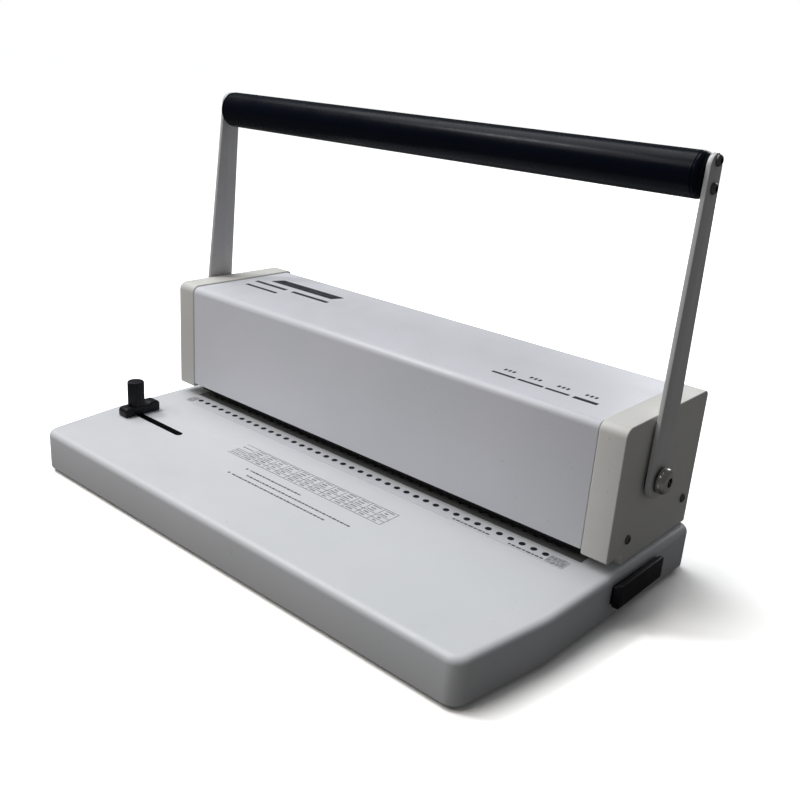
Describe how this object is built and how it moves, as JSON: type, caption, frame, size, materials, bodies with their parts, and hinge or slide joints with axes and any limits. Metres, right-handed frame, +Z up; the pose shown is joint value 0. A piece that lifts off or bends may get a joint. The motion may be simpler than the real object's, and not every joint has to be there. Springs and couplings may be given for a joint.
{
  "type": "manual punch and binding machine",
  "caption": "Desktop manual punch for spiral binding: moulded base, long covered punch body, hinged bar handle, edge guide and slide-out chip tray.",
  "frame": {"origin": "middle of the whole object's footprint, on the table under its feet", "axes": "+X to the machine's right (chip tray side), +Y to its back, +Z up; paper goes in along +Y"},
  "size_m": [0.423, 0.2304, 0.2684],
  "materials": {
    "base_plastic": "fine satin moulding",
    "cover_paint": "satin powder coat",
    "cap_plastic": "fine satin moulding",
    "arm_paint": "satin grey paint",
    "grip_black": "smooth satin black",
    "black_plastic": "satin",
    "rubber": "matte",
    "dark_steel": "blackened, oiled",
    "bright_steel": "ground and polished",
    "sheet_steel": "zinc plated",
    "bronze": "sintered",
    "label_film": "printed film"
  },
  "bodies": {
    "machine": {"base_shell": "base_plastic", "body_cover": "cover_paint", "rear_cover": "cover_paint", "end_cap_left": "cap_plastic", "end_cap_right": "cap_plastic", "foot_front_left": "rubber", "foot_front_right": "rubber", "foot_rear_left": "rubber", "foot_rear_right": "rubber", "die_plate": "sheet_steel", "stripper_plate": "dark_steel", "back_stop": "dark_steel", "base_screw_1": "dark_steel", "base_screw_2": "dark_steel", "base_screw_3": "dark_steel", "base_screw_4": "dark_steel", "rear_screw_1": "dark_steel", "rear_screw_2": "dark_steel", "rear_screw_3": "dark_steel", "rear_screw_4": "dark_steel", "cap_screw_left_1": "dark_steel", "cap_screw_left_2": "dark_steel", "cap_screw_right_1": "dark_steel", "cap_screw_right_2": "dark_steel", "guide_post_left": "bright_steel", "guide_post_right": "bright_steel", "return_spring_left": "bright_steel", "return_spring_right": "bright_steel", "side_frame_left": "sheet_steel", "side_frame_right": "sheet_steel", "bottom_plate": "sheet_steel", "tray_rail_front": "sheet_steel", "tray_rail_rear": "sheet_steel", "shaft_bush_left": "bronze", "shaft_bush_right": "bronze", "label_strip": "label_film"},
    "handle": {"cross_shaft": "bright_steel", "cam_left": "dark_steel", "cam_right": "dark_steel", "arm_left": "arm_paint", "arm_right": "arm_paint", "pivot_washer_left": "dark_steel", "pivot_washer_right": "dark_steel", "pivot_bolt_left": "bright_steel", "pivot_bolt_right": "bright_steel", "grip_tube": "grip_black", "end_plug_left": "black_plastic", "end_plug_right": "black_plastic", "arm_screw_left_1": "dark_steel", "arm_screw_left_2": "dark_steel", "arm_screw_right_1": "dark_steel", "arm_screw_right_2": "dark_steel"},
    "punch": {"punch_carrier": "bright_steel"},
    "tray": {"chip_tray": "black_plastic"},
    "edge_guide": {"guide_block": "black_plastic", "guide_nut": "bright_steel"},
    "clamp_knob": {"guide_knob": "black_plastic"}
  },
  "joints": [
    {"name": "handle_pull", "type": "hinge", "parent": "machine", "child": "handle", "pos_m": [0, 0.05145, 0.0828], "axis": [1, 0, 0], "range_deg": [0, 85]},
    {"name": "punch_stroke", "type": "slide", "parent": "machine", "child": "punch", "axis": [0, 0, -1], "range_m": [0, 0.0122], "stiffness_N_per_m": 1500, "springref_m": -0.01, "deforming": ["return_spring_left", "return_spring_right"]},
    {"name": "tray_slide", "type": "slide", "parent": "machine", "child": "tray", "axis": [1, 0, 0], "range_m": [0, 0.3]},
    {"name": "guide_slide", "type": "slide", "parent": "machine", "child": "edge_guide", "axis": [1, 0, 0], "range_m": [0, 0.0525]},
    {"name": "knob_turn", "type": "hinge", "parent": "edge_guide", "child": "clamp_knob", "pos_m": [-0.1774, -0.04715, 0.0317], "axis": [0, 0, 1], "range_deg": [0, 180]}
  ],
  "couplings": [
    {"joint": "punch_stroke", "follows": "handle_pull", "m_per_rad": 0.0080888}
  ]
}
